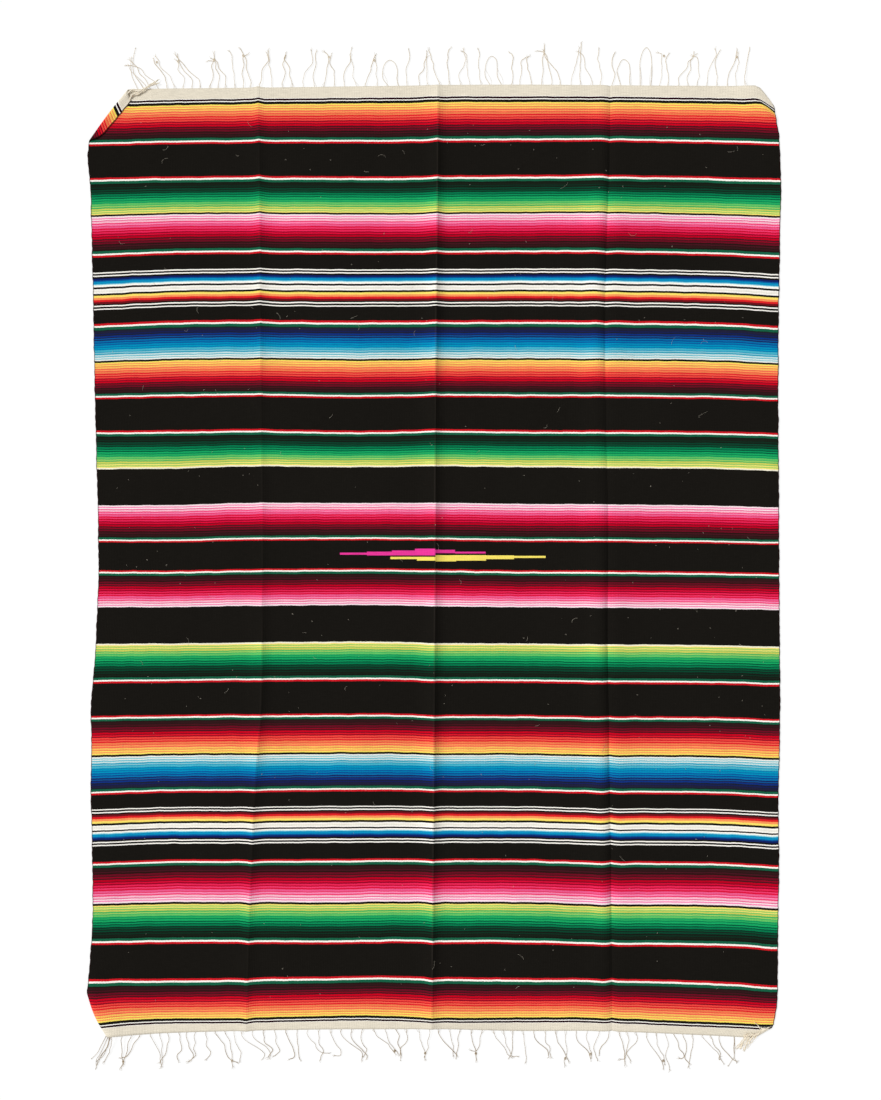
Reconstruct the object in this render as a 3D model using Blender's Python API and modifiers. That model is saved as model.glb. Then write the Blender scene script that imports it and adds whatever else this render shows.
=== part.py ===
"""A striped serape blanket lying open on a flat surface, with a fringe at both ends.

The cloth is one woven web. Its long sides are selvedges, and its short ends carry a narrow
heading edge in which the warp ends are rooted as a fringe. It was stored folded in four across
its width, so three lengthwise creases stand in it, and all four corners are turned.
Metres, +X across the cloth, +Y along it, +Z up. The origin is under the middle of the cloth,
and the underside rests at z = 0.
"""
import math
import random
from collections import namedtuple

import bmesh
import bpy
from mathutils import Vector

# Driving dimensions
CLOTH_WIDTH = 1.50
CLOTH_LENGTH = 2.056
WALL = 0.002
HEADING_EDGE = 0.008
SEAM_GAP = 0.0005

# How far the selvedges lie inside the nominal width, at stations along the cloth
Side = namedtuple("Side", "station left_inset right_inset")
SIDES = (
    Side(1.028, 0.057, 0.003),
    Side(0.905, 0.000, 0.002),
    Side(0.840, -0.002, -0.002),
    Side(0.560, 0.006, 0.002),
    Side(0.350, 0.011, 0.004),
    Side(0.000, 0.017, 0.005),
    Side(-0.210, 0.011, 0.002),
    Side(-0.310, 0.002, 0.001),
    Side(-0.440, 0.000, 0.001),
    Side(-0.680, 0.006, 0.003),
    Side(-0.780, 0.006, 0.004),
    Side(-0.945, -0.004, 0.006),
    Side(-1.028, -0.004, 0.029),
)

# How far the two ends lie above their nominal lines, at stations across the cloth
End = namedtuple("End", "station top_shift bottom_shift")
ENDS = (
    End(-0.75, -0.009, -0.014),
    End(-0.67, -0.009, -0.011),
    End(-0.55, -0.007, -0.002),
    End(-0.20, -0.003, 0.002),
    End(0.20, 0.002, -0.002),
    End(0.38, 0.002, -0.003),
    End(0.60, -0.001, -0.013),
    End(0.75, -0.004, -0.0155),
)

# Lengthwise creases: where each runs at the two ends, and how high the cloth stands there and
# halfway. A ridge stands along its line, a valley lies on its line between two raised sides.
Crease = namedtuple("Crease", "form half_width x_top x_bottom high_top high_middle high_bottom")
CREASES = (
    Crease("ridge", 0.050, -0.3826, -0.4065, 0.014, 0.013, 0.012),
    Crease("ridge", 0.046, 0.0087, -0.0054, 0.015, 0.012, 0.014),
    Crease("valley", 0.060, 0.3783, 0.3848, 0.003, 0.005, 0.008),
)
RIDGE_SHARPNESS = 2.2

# Turned corners. Each fold's outermost line runs from start to end, the corner on its right.
# A corner turned over lies on the cloth's face, and one turned under lies on the floor.
Turn = namedtuple("Turn", "way start end roll_across roll_up")
TURNS = (
    Turn("over", (-0.6652, 1.0185), (-0.7509, 0.9054), 0.0050, 0.0048),
    Turn("under", (0.7391, 0.9728), (0.7000, 1.0207), 0.0110, 0.0050),
    Turn("under", (-0.7543, -0.9446), (-0.7109, -1.0402), 0.0070, 0.0035),
    Turn("over", (0.6935, -1.0435), (0.7348, -1.0196), 0.0045, 0.0044),
)
LAY_GAP = 0.0005
FLAP_SETTLES_OVER = 0.016
LIFT_REACH = 0.075
LIFT_FADE = 0.070

# Spacing of the mesh
ROW_SPACING = 0.08
END_ROWS = (0.025, 0.050)
CREASE_STEPS = (0.007, 0.017, 0.031)
SELVEDGE_STEPS = (0.0, 0.03, 0.07, 0.12)
PANEL_SHARES = (0.22, 0.35, 0.70)
ROLL_STEPS = 8
LIFT_SHARES = (1.0, 0.75, 0.5, 0.28, 0.12)
FLAP_STEP = 0.006
CORNER_REACH = 0.17
ON_LINE = 0.0005

# The fringe: strands in groups whose tips lean together
Fringe = namedtuple("Fringe", "end first_root last_root strands reach lean sway")
TOP_FRINGE = Fringe(1, -0.655, 0.686, 62, 0.093, 0.012, 0.0040)
BOTTOM_FRINGE = Fringe(-1, -0.692, 0.634, 61, 0.080, 0.022, 0.0055)
FRINGE_SEED = 7
GROUP_SIZES = (1, 2, 2, 3)
ROOT_SCATTER = 0.12
SHORTEST_REACH = 0.82
STRAND_RADIUS = 0.0010
STRAND_TIP_RADIUS = 0.0008
STRAND_REST_HEIGHT = 0.0014
STRAND_SHARES = (0.05, 0.26, 0.48, 0.74, 1.0)
SWAY_TURNS = 0.9
ROOT_DEPTH = 0.003
TIP_SPACING = 0.0030
TIP_CLEARANCE = 0.012

# The twisted bundle of the top left corner: its root on the cut cloth, then its way
BUNDLE_ROOT = -0.744
Knot = namedtuple("Knot", "place radius")
BUNDLE = (
    Knot((-0.6560, 1.0030, 0.0062), 0.0024),
    Knot((-0.6400, 1.0105, 0.0061), 0.0032),
    Knot((-0.6200, 1.0235, 0.0062), 0.0030),
    Knot((-0.6030, 1.0345, 0.0058), 0.0018),
)

# The locks of the bottom right corner: each root on the cut cloth, then its way
Lock = namedtuple("Lock", "root middle tip")
LOCKS = (
    Lock(0.7475, (0.6892, -1.0370), (0.6600, -1.0670)),
    Lock(0.7405, (0.6885, -1.0480), (0.6760, -1.0720)),
)
LOCK_RADIUS = 0.0019

WEB_COLOUR = (0.030, 0.020, 0.018, 1.0)
HEADING_COLOUR = (0.78, 0.72, 0.60, 1.0)
WOOL_ROUGHNESS = 0.9


def curve_through(table, column, at):
    """The value of a table's column at a station, on a smooth curve through its rows."""
    rows = sorted((row.station, getattr(row, column)) for row in table)
    last = len(rows) - 1
    at = min(max(at, rows[0][0]), rows[last][0])
    i = max(k for k in range(last) if rows[k][0] <= at)
    (x0, y0), (x1, y1) = rows[i], rows[i + 1]
    before, after = rows[max(i - 1, 0)], rows[min(i + 2, last)]
    span = x1 - x0
    slope0 = (y1 - before[1]) / (x1 - before[0]) * span
    slope1 = (after[1] - y0) / (after[0] - x0) * span
    u = (at - x0) / span
    leaving = y0 * (2 * u**3 - 3 * u**2 + 1) + slope0 * (u**3 - 2 * u**2 + u)
    arriving = y1 * (3 * u**2 - 2 * u**3) + slope1 * (u**3 - u**2)
    return leaving + arriving


def eased(u):
    """A smooth step from 0 to 1."""
    u = min(max(u, 0.0), 1.0)
    return u * u * (3 - 2 * u)


def crease_x(crease, y):
    """Where a crease runs, across the cloth, at a place along it."""
    share = 0.5 - y / CLOTH_LENGTH
    return crease.x_top + (crease.x_bottom - crease.x_top) * share


def crest_height(crease, y):
    """How high a crease stands at a place along the cloth."""
    along = min(max(2 * y / CLOTH_LENGTH, -1.0), 1.0)
    tilt = (crease.high_top - crease.high_bottom) / 2
    bow = (crease.high_top + crease.high_bottom) / 2 - crease.high_middle
    return crease.high_middle + tilt * along + bow * along**2


def crease_height(x, y):
    """How high the creases hold the cloth's underside over the floor."""
    height = 0.0
    for crease in CREASES:
        away = min(abs(x - crease_x(crease, y)) / crease.half_width, 1.0)
        if crease.form == "ridge":
            shape = (1 - away) ** RIDGE_SHARPNESS
        else:
            shape = 27 / 4 * away * (1 - away) ** 2
        height += crest_height(crease, y) * shape
    return height


def plan(s, t):
    """Where a point of the cut cloth, s across and t along, lies before corners are turned."""
    half = CLOTH_WIDTH / 2
    quarter = half / 2
    left = -half + curve_through(SIDES, "left_inset", t)
    right = half - curve_through(SIDES, "right_inset", t)
    lines = (left, *(crease_x(crease, t) for crease in CREASES), right)
    panel = min(int((s + half) / quarter), 3)
    share = (s + half) / quarter - panel
    x = lines[panel] + (lines[panel + 1] - lines[panel]) * share
    column = "top_shift" if t > 0 else "bottom_shift"
    pull = abs(t) / (CLOTH_LENGTH / 2)
    return x, t + curve_through(ENDS, column, x) * pull


class Fold:
    """A turned corner: the bend's place, and how points are carried round it."""

    def __init__(self, turn):
        start, end = Vector(turn.start), Vector(turn.end)
        self.under = turn.way == "under"
        self.length = (end - start).length
        self.along = (end - start) / self.length
        self.out = Vector((self.along.y, -self.along.x))
        self.across = turn.roll_across
        self.up = turn.roll_up
        outermost = self.across + (WALL if self.under else 0.0)
        self.start = start - self.out * outermost
        self.arc = math.pi * math.sqrt((self.across**2 + self.up**2) / 2)

    def beyond(self, x, y):
        """How far a point lies past the line where the bend begins."""
        return (Vector((x, y)) - self.start).dot(self.out)

    def lines(self):
        """Distances past the bend's beginning at which the mesh needs an edge."""
        bend = [self.arc * i / ROLL_STEPS for i in range(ROLL_STEPS + 1)]
        if self.under:
            return [-LIFT_REACH * share for share in LIFT_SHARES] + bend
        return bend + [self.arc + FLAP_STEP]

    def lift(self, point, past):
        """How high a corner turned under holds the cloth above it."""
        along = (Vector((point.x, point.y)) - self.start).dot(self.along)
        outside = max(-along, along - self.length, 0.0)
        fade = 1 - eased(outside / LIFT_FADE)
        return (WALL + 2 * self.up) * eased(1 + past / LIFT_REACH) * fade

    def carry(self, point):
        """The underside's place once the corner is turned."""
        past = self.beyond(point.x, point.y)
        if past <= 0.0:
            if self.under:
                point.z += self.lift(point, past)
            return point
        outward = Vector((*self.out, 0.0))
        turn = math.pi * min(past / self.arc, 1.0)
        lying = max(past - self.arc, 0.0)
        shift = self.across * math.sin(turn) - lying
        carried = point + outward * (shift - past)
        if self.under:
            carried.z = WALL + self.up * (1 + math.cos(turn))
        else:
            turned = self.up * (1 - math.cos(turn))
            settled = 2 * WALL + LAY_GAP
            carried.z = turned + (settled - turned) * eased(lying / FLAP_SETTLES_OVER)
        return carried


FOLDS = [Fold(turn) for turn in TURNS]


def laid(x, y):
    """The place of the cloth's underside over a point of its plan."""
    point = Vector((x, y, crease_height(x, y)))
    for fold in FOLDS:
        point = fold.carry(point)
    return point


def within_wall(s, t):
    """The middle of the wall at a point of the cut cloth, whichever way it is turned."""
    end = math.copysign(1, t)
    step = 0.0005
    here = laid(*plan(s, t))
    across = laid(*plan(s - step, t)) - here
    along = laid(*plan(s, t - step * end)) - here
    normal = across.cross(along) * end
    return here + normal.normalized() * WALL / 2


def columns_of_mesh():
    """Stations across the cloth, close together at the creases and the selvedges."""
    half = CLOTH_WIDTH / 2
    stations = []
    for middle, crease in zip((-half / 2, 0.0, half / 2), CREASES):
        steps = (*CREASE_STEPS, crease.half_width)
        stations += [middle, *(middle + step for step in steps), *(middle - step for step in steps)]
    for side in (-1, 1):
        stations += [side * (half - inset) for inset in SELVEDGE_STEPS]
        stations += [side * half * share for share in PANEL_SHARES]
    return sorted(stations)


def rows_of_web():
    """Stations along the web, evenly spaced and closer at its ends."""
    half = CLOTH_LENGTH / 2 - HEADING_EDGE - SEAM_GAP
    count = round(2 * half / ROW_SPACING)
    stations = [-half + 2 * half * i / count for i in range(count + 1)]
    stations += [side * (half - inset) for side in (-1, 1) for inset in END_ROWS]
    return sorted(stations)


def cut_along_fold(bm, fold):
    """Adds edges along a fold's lines to the flat cloth near its corner."""
    middle = fold.start + fold.along * fold.length / 2
    for line in fold.lines():
        near = [f for f in bm.faces if (f.calc_center_median().xy - middle).length < CORNER_REACH]
        edges = {edge for face in near for edge in face.edges}
        verts = {vert for face in near for vert in face.verts}
        if near:
            bmesh.ops.bisect_plane(
                bm,
                geom=[*near, *edges, *verts],
                dist=ON_LINE,
                plane_co=(*(fold.start + fold.out * line), 0.0),
                plane_no=(*fold.out, 0.0),
            )


def cloth_wall(name, columns, rows, finish, collection):
    """A wall of cloth between the given columns and rows, its underside on the sheet."""
    bm = bmesh.new()
    across, along = len(columns) - 1, len(rows) - 1
    bmesh.ops.create_grid(bm, x_segments=across, y_segments=along, size=0.5)
    for vert in bm.verts:
        column = columns[round((vert.co.x + 0.5) * across)]
        row = rows[round((vert.co.y + 0.5) * along)]
        vert.co = (*plan(column, row), 0.0)
    for fold in FOLDS:
        cut_along_fold(bm, fold)
    bmesh.ops.triangulate(bm, faces=[face for face in bm.faces if len(face.verts) > 4])
    for vert in bm.verts:
        vert.co = laid(vert.co.x, vert.co.y)
    mesh = bpy.data.meshes.new(name)
    bm.to_mesh(mesh)
    bm.free()
    mesh.materials.append(finish)
    wall = bpy.data.objects.new(name, mesh)
    collection.objects.link(wall)
    solidify = wall.modifiers.new("wall", "SOLIDIFY")
    solidify.thickness = WALL
    solidify.offset = 1.0
    solidify.use_quality_normals = True
    return wall


def strand_route(end, root, tip, length, sway):
    """One strand: out of the heading edge, down to the floor and on to its tip."""
    edge = plan(root, end * CLOTH_LENGTH / 2)
    inside = plan(root, end * (CLOTH_LENGTH / 2 - ROOT_DEPTH))
    held_up = laid(*edge).z
    route = [Knot((*inside, held_up + STRAND_REST_HEIGHT), STRAND_RADIUS)]
    for share in STRAND_SHARES:
        x = edge[0] + (tip - edge[0]) * eased(share)
        x += sway * math.sin(math.tau * share * SWAY_TURNS)
        y = edge[1] + end * length * share
        z = held_up * (1 - share) ** 2 + STRAND_REST_HEIGHT
        radius = STRAND_RADIUS + (STRAND_TIP_RADIUS - STRAND_RADIUS) * share
        route.append(Knot((x, y, z), radius))
    return route


def fringe_routes(fringe):
    """The strands of one end, in groups of one to three that meet at their tips."""
    draw = random.Random(FRINGE_SEED + fringe.end)
    spacing = (fringe.last_root - fringe.first_root) / (fringe.strands - 1)
    routes = []
    last_tip = -CLOTH_WIDTH
    while len(routes) < fringe.strands:
        count = min(draw.choice(GROUP_SIZES), fringe.strands - len(routes))
        roots = [
            fringe.first_root + spacing * (i + draw.uniform(-ROOT_SCATTER, ROOT_SCATTER))
            for i in range(len(routes), len(routes) + count)
        ]
        breadth = TIP_SPACING * (count - 1)
        meeting = sum(roots) / count + draw.uniform(-fringe.lean, fringe.lean)
        first_tip = max(meeting - breadth / 2, last_tip + TIP_CLEARANCE)
        last_tip = first_tip + breadth
        length = fringe.reach * draw.uniform(SHORTEST_REACH, 1.0)
        sway = fringe.sway * draw.uniform(-1.0, 1.0)
        for i, root in enumerate(roots):
            tip = first_tip + TIP_SPACING * i
            routes.append(strand_route(fringe.end, root, tip, length, sway))
    return routes


def bundle_route():
    """The top left corner's bundle, from its turned-over end across the heading."""
    root = within_wall(BUNDLE_ROOT, CLOTH_LENGTH / 2 - ROOT_DEPTH)
    return [Knot(root, STRAND_TIP_RADIUS), *BUNDLE]


def lock_route(lock):
    """A lock of the bottom right corner, off its turned-over end and down to the floor."""
    root = within_wall(lock.root, -CLOTH_LENGTH / 2 + ROOT_DEPTH)
    passing = Vector((*lock.middle, WALL + LAY_GAP + LOCK_RADIUS))
    leaving = root.lerp(passing, 0.45)
    leaving.z = passing.z
    tip = (*lock.tip, STRAND_REST_HEIGHT + LOCK_RADIUS / 2)
    places = ((root, 0.4), (leaving, 0.85), (passing, 1.0), (tip, 0.4))
    return [Knot(place, LOCK_RADIUS * share) for place, share in places]


def strands_mesh(name, routes, collection):
    """Strands of four sides along the given routes, each a closed body, in one mesh."""
    curve = bpy.data.curves.new(name, "CURVE")
    curve.dimensions = "3D"
    curve.twist_mode = "Z_UP"
    curve.bevel_depth = 1.0
    curve.bevel_resolution = 0
    curve.use_fill_caps = True
    for route in routes:
        spline = curve.splines.new("POLY")
        spline.points.add(len(route) - 1)
        for point, knot in zip(spline.points, route):
            point.co = (*knot.place, 1.0)
            point.radius = knot.radius
    drawn = bpy.data.objects.new(name, curve)
    collection.objects.link(drawn)
    graph = bpy.context.evaluated_depsgraph_get()
    mesh = bpy.data.meshes.new_from_object(drawn.evaluated_get(graph))
    bpy.data.objects.remove(drawn)
    bm = bmesh.new()
    bm.from_mesh(mesh)
    bmesh.ops.remove_doubles(bm, verts=bm.verts, dist=0.00001)
    bmesh.ops.recalc_face_normals(bm, faces=bm.faces)
    bm.to_mesh(mesh)
    bm.free()
    strands = bpy.data.objects.new(name, mesh)
    strands.hide_render = True
    strands.display_type = "WIRE"
    collection.objects.link(strands)
    return strands


def build_fringe(name, end, routes, finish, collection, tools):
    """A heading edge with its strands fused into it."""
    outer = end * CLOTH_LENGTH / 2
    inner = outer - end * HEADING_EDGE
    edge = cloth_wall(name, columns_of_mesh(), sorted((outer, inner)), finish, collection)
    union = edge.modifiers.new("strands", "BOOLEAN")
    union.operation = "UNION"
    union.object = strands_mesh(name + "_strands", routes, tools)


def material(name, colour):
    """A matt yarn finish."""
    made = bpy.data.materials.new(name)
    made.use_nodes = True
    shader = made.node_tree.nodes["Principled BSDF"]
    shader.inputs["Base Color"].default_value = colour
    shader.inputs["Roughness"].default_value = WOOL_ROUGHNESS
    shader.inputs["Metallic"].default_value = 0.0
    return made


def build():
    for item in list(bpy.data.objects):
        bpy.data.objects.remove(item)
    collection = bpy.data.collections.new("serape")
    tools = bpy.data.collections.new("serape_tools")
    bpy.context.scene.collection.children.link(collection)
    bpy.context.scene.collection.children.link(tools)
    weave = material("striped_weave", WEB_COLOUR)
    yarn = material("undyed_yarn", HEADING_COLOUR)
    cloth_wall("web", columns_of_mesh(), rows_of_web(), weave, collection)
    top_routes = [*fringe_routes(TOP_FRINGE), bundle_route()]
    build_fringe("fringe_top", 1, top_routes, yarn, collection, tools)
    bottom_routes = [*fringe_routes(BOTTOM_FRINGE), *(lock_route(lock) for lock in LOCKS)]
    build_fringe("fringe_bottom", -1, bottom_routes, yarn, collection, tools)


build()
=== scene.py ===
"""The looks of the striped serape blanket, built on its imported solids.

The cloth is a thin shell on the web's form, woven from a stripe draft that is written out below.
The fringe is twisted cotton yarn. Metres, in the frame of the part: +X across, +Y along, +Z up.
"""

import math
import random
from collections import namedtuple

import bmesh
import bpy
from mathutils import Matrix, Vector, noise


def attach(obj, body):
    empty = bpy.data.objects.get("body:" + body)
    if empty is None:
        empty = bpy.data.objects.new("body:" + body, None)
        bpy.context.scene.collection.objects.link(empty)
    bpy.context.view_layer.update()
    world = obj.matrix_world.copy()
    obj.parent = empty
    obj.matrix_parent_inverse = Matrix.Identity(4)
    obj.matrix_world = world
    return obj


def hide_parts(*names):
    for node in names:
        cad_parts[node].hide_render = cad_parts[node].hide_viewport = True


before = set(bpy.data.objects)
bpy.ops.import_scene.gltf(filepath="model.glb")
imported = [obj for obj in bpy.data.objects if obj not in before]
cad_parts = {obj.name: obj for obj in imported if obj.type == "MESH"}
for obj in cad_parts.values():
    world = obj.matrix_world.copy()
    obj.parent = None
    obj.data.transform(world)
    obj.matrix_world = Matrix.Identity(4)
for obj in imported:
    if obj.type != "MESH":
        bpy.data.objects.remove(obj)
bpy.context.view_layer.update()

# The cloth
CLOTH_WIDTH = 1.50
CLOTH_LENGTH = 2.056
WALL = 0.002
HALF_WIDTH = CLOTH_WIDTH / 2
HALF_LENGTH = CLOTH_LENGTH / 2
DRAFT_CENTRE = 0.0076
# The weave: how far apart its ribs lie across the cloth, and its picks along it
RIB = 0.0036
PICK = 0.0011

# How far the selvedges lie inside the nominal width, at stations along the cloth
Side = namedtuple("Side", "station left_inset right_inset")
SIDES = (
    Side(1.028, 0.0530, 0.0150),
    Side(1.010, 0.0390, 0.0145),
    Side(0.996, 0.0290, 0.0130),
    Side(0.967, 0.0095, 0.0105),
    Side(0.944, -0.0028, 0.0068),
    Side(0.930, -0.0045, 0.0032),
    Side(0.905, -0.0012, 0.0018),
    Side(0.880, -0.0034, 0.0000),
    Side(0.800, 0.0022, -0.0010),
    Side(0.690, 0.0052, 0.0010),
    Side(0.560, 0.0080, 0.0035),
    Side(0.350, 0.0117, 0.0046),
    Side(0.000, 0.0195, 0.0025),
    Side(-0.210, 0.0120, 0.0012),
    Side(-0.310, 0.0035, 0.0006),
    Side(-0.400, 0.0040, 0.0016),
    Side(-0.500, 0.0032, 0.0042),
    Side(-0.680, 0.0065, 0.0030),
    Side(-0.780, 0.0065, 0.0050),
    Side(-0.945, -0.0035, 0.0071),
    Side(-0.978, -0.0038, 0.0126),
    Side(-1.003, -0.0040, 0.0175),
    Side(-1.028, -0.0040, 0.0260),
)

# How far a weft line lies above its true place, in mm, at places across the cloth
WANDER_ACROSS = (-0.746, -0.576, -0.400, -0.196, -0.090, 0.020, 0.185, 0.337, 0.620, 0.740)
Wander = namedtuple(
    "Wander", "station edge left crease mid_left near centre mid_right fold right far")
WANDERS = (
    Wander(1.028, -11.0, -9.0, -7.6, -4.8, -3.4, -1.6, -0.6, -2.0, -3.6, -5.8),
    Wander(1.001, -11.2, -6.5, -4.6, -2.6, -1.7, 0.4, 1.0, 0.3, -2.9, -6.4),
    Wander(0.820, -8.4, -4.3, -3.3, -3.8, -4.3, -2.6, -1.3, -0.5, -5.6, -9.0),
    Wander(0.550, -10.7, -3.3, -1.3, -2.8, -2.6, -2.4, -1.4, -2.4, -6.6, -14.1),
    Wander(0.270, -2.7, -1.3, 1.1, -2.5, -1.6, 0.8, -1.1, -1.5, -3.9, -7.4),
    Wander(0.190, -6.8, -5.4, -0.4, -2.0, -1.4, -0.2, -2.2, -3.2, -6.2, -11.0),
    Wander(0.000, -5.4, -5.1, -2.1, -0.6, -1.0, -2.6, -4.9, -5.3, -8.6, -10.7),
    Wander(-0.300, -4.2, -2.4, -0.5, 0.9, 0.9, -2.2, -2.5, -4.8, -6.7, -11.1),
    Wander(-0.600, -6.9, -1.0, -0.3, 1.4, 2.0, 1.3, 1.1, -3.0, -5.9, -12.7),
    Wander(-0.840, -1.9, 0.6, 1.2, -0.5, 2.2, 1.0, 0.3, -3.8, -6.7, -14.2),
    Wander(-0.920, -6.1, -6.0, -3.8, 0.0, 1.0, -2.0, -3.7, -4.5, -12.0, -20.7),
    Wander(-1.006, -13.2, -6.5, -5.2, 0.0, -0.2, -4.3, -3.7, -4.1, -14.7, -19.2),
    Wander(-1.028, -14.3, -5.6, -0.6, 3.1, 3.2, 3.4, -0.4, -0.4, -10.8, -17.0),
)

# Lengthwise creases: a ridge stands along its line, a valley lies between two raised sides.
# Each has the places of its line and its heights, as rows of (station along the cloth, value).
# The weft is drawn in by a tuck where it crosses the line, in the upper and in the lower half.
Crease = namedtuple("Crease", "form lit_width shade_width sharpness tucks line heights")
CREASES = (
    Crease("ridge", 0.048, 0.032, 2.5, (-0.0024, -0.0016),
           ((-1.028, -0.4100), (-0.875, -0.4070), (-0.645, -0.3985), (-0.466, -0.3887),
            (-0.310, -0.3780), (0.000, -0.3750), (0.430, -0.3790), (0.866, -0.3822),
            (1.028, -0.3850)),
           ((-1.028, 0.0020), (-0.900, 0.0045), (-0.700, 0.0055), (-0.250, 0.0075),
            (-0.080, 0.0055), (0.100, 0.0038), (0.600, 0.0048), (0.866, 0.0050),
            (1.028, 0.0020))),
    Crease("ridge", 0.046, 0.044, 3.6, (0.0, 0.0),
           ((-1.028, -0.0075), (-0.877, -0.0062), (-0.308, -0.0025), (0.000, -0.0006),
            (0.308, 0.0000), (0.866, 0.0050), (1.028, 0.0060)),
           ((-1.028, 0.0036), (-0.900, 0.0100), (0.000, 0.0110), (0.900, 0.0100),
            (1.028, 0.0036))),
    Crease("valley", 0.060, 0.056, 2.0, (0.0012, 0.0017),
           ((-1.028, 0.3840), (-0.900, 0.3837), (-0.600, 0.3811), (-0.308, 0.3761),
            (-0.147, 0.3742), (0.100, 0.3758), (0.308, 0.3707), (0.600, 0.3705),
            (0.866, 0.3783), (1.028, 0.3800)),
           ((-1.028, 0.0020), (-0.900, 0.0050), (-0.700, 0.0065), (-0.250, 0.0080),
            (-0.050, 0.0070), (0.158, 0.0045), (0.600, 0.0060), (0.866, 0.0058),
            (1.028, 0.0020))),
)
LIT_SHARPNESS = 2.2
VALLEY_LIT_SIDE = 0.4
TUCK_REACH = 0.022
# How much a crest is paled, by the crease's place across the flat cloth: partly wear of the weft,
# partly a painted highlight along the crest
CREST_WEAR_AND_HIGHLIGHT = {-HALF_WIDTH / 2: 0.012, 0.0: 0.030}

# Turned corners. Each fold's outermost line runs from start to end, the corner on its right.
# A flap is skewed towards the start of its fold, by rows of (place along the fold, slope).
Turn = namedtuple("Turn", "way start end roll_across roll_up bow skew")
FLAP_SKEW = ((0.008, 0.0), (0.038, 0.31), (0.060, 0.31), (0.085, 0.23), (0.125, 0.07))
NO_SKEW = ((0.0, 0.0), (1.0, 0.0))
TURNS = (
    Turn("over", (-0.6652, 1.0185), (-0.7509, 0.9054), 0.0040, 0.0036, 0.0020, FLAP_SKEW),
    Turn("under", (-0.7546, -0.9485), (-0.7125, -1.0400), 0.0070, 0.0035, 0.0050, NO_SKEW),
    Turn("over", (0.6935, -1.0435), (0.7348, -1.0196), 0.0035, 0.0034, 0.0, NO_SKEW),
)
BOW_FADE = 0.030

# The top right corner sags: beyond the bend its wefts run down at the given slope
Sag = namedtuple("Sag", "station bend slope")
SAGS = (
    Sag(0.9350, 0.7450, 0.00),
    Sag(0.9551, 0.7355, 0.46),
    Sag(0.9648, 0.7250, 0.66),
    Sag(0.9764, 0.7145, 0.79),
    Sag(0.9889, 0.7050, 0.64),
    Sag(0.9997, 0.6980, 0.54),
    Sag(1.0045, 0.6975, 0.60),
    Sag(1.0225, 0.6985, 1.15),
)
SAG_ROUNDING = 0.003
SAG_HEIGHT = 0.009
LAY_GAP = 0.0005
FLAP_SETTLES_OVER = 0.016
LIFT_REACH = 0.075
LIFT_FADE = 0.070

# Dyed yarns, sRGB
YARNS = {
    "black": (25, 23, 20),
    "white": (252, 248, 240),
    "off_white": (238, 234, 222),
    "cream": (229, 220, 201),
    "red": (204, 26, 36),
    "green": (24, 96, 68),
    "maroon": (108, 22, 30),
    "scarlet": (222, 34, 40),
    "orange": (250, 152, 92),
    "yellow": (250, 224, 106),
    "navy": (18, 34, 96),
    "blue": (14, 84, 154),
    "azure": (14, 142, 188),
    "pale_blue": (140, 212, 222),
    "pale_cream": (246, 240, 214),
    "pink": (232, 58, 152),
    "lemon": (248, 226, 104),
    "brown": (38, 16, 22),
    # The colour of the dark strip along the selvedges
    "dark_selvedge_line": (44, 20, 20),
    # The pale of a crest: partly wear of the weft, partly a painted highlight
    "wear_and_highlight": (200, 184, 168),
}
# Ombres, from the dark shade to the light one
SUNSET = (
    (38, 24, 22), (51, 25, 28), (71, 22, 31), (107, 16, 35), (142, 11, 34), (198, 7, 32),
    (222, 27, 42), (238, 70, 62), (241, 99, 78), (236, 124, 78), (248, 156, 92), (246, 188, 94),
    (250, 224, 100),
)
FOREST = (
    (24, 26, 20), (24, 35, 26), (16, 48, 34), (11, 66, 46), (6, 82, 54), (8, 120, 76),
    (16, 150, 92), (26, 166, 97), (42, 173, 95), (100, 192, 99), (156, 203, 100),
    (202, 203, 92), (244, 224, 116),
)
ROSE = (
    (38, 22, 20), (52, 25, 27), (71, 24, 33), (106, 16, 34), (146, 8, 36), (186, 4, 34),
    (218, 16, 56), (230, 38, 84), (238, 62, 112), (233, 90, 140), (246, 136, 180),
    (246, 186, 204), (248, 226, 230),
)
LAKE = (
    (31, 34, 44), (33, 33, 62), (25, 33, 84), (16, 50, 128), (14, 86, 154), (10, 110, 168),
    (4, 126, 176), (6, 141, 184), (8, 153, 187), (72, 178, 198), (136, 198, 206),
    (194, 220, 220), (234, 235, 229),
)

# How wide the weaver made the lines of an ombre, in turn, and the weight of each darker line
BEATS = (1.0, 0.7, 1.2, 0.85, 1.25, 0.8, 1.1, 0.9, 1.25, 0.75, 1.15, 0.9, 1.15)
DARKER_SHARE = 0.85


def ombre(shades):
    """An ombre's yarns: each shade is split into a darker line and a lighter one."""
    yarns = []
    last = len(shades) - 1
    for i, beat in enumerate(BEATS):
        yarns += [(shades[max(i - 2, 0)], DARKER_SHARE * beat),
                  (shades[min(i + 1, last)], (2 - DARKER_SHARE) * BEATS[last - i])]
    return tuple(yarns)


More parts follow.
